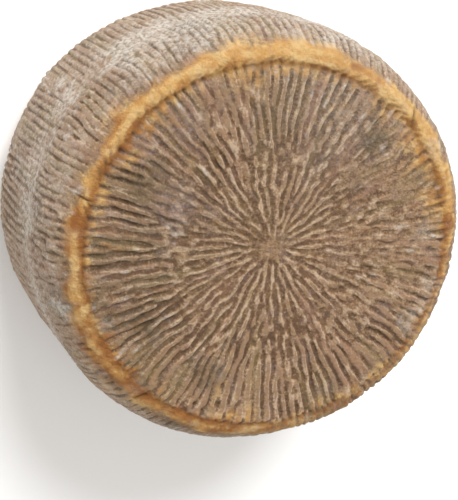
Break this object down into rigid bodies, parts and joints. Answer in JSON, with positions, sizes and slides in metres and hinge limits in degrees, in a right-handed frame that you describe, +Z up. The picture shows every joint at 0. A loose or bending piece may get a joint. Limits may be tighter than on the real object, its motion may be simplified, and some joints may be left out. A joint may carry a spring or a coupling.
{
  "type": "basket-moulded cheese wheel",
  "caption": "Whole wheel of hard cheese with a ribbed natural rind, a smooth bead round each flat face and a seam round its side.",
  "frame": {"origin": "centre of the flat face that the wheel rests on", "axes": "+Z up along the wheel's axis, from the resting face to the other face; +X along its widest diameter"},
  "size_m": [0.24, 0.23, 0.128],
  "materials": {
    "rind": "dry, ribbed natural cheese rind, tan on the ribs and brown between them, with pale mould and an ochre bead"
  },
  "bodies": {
    "root": {"cheese_wheel": "rind"}
  },
  "joints": []
}
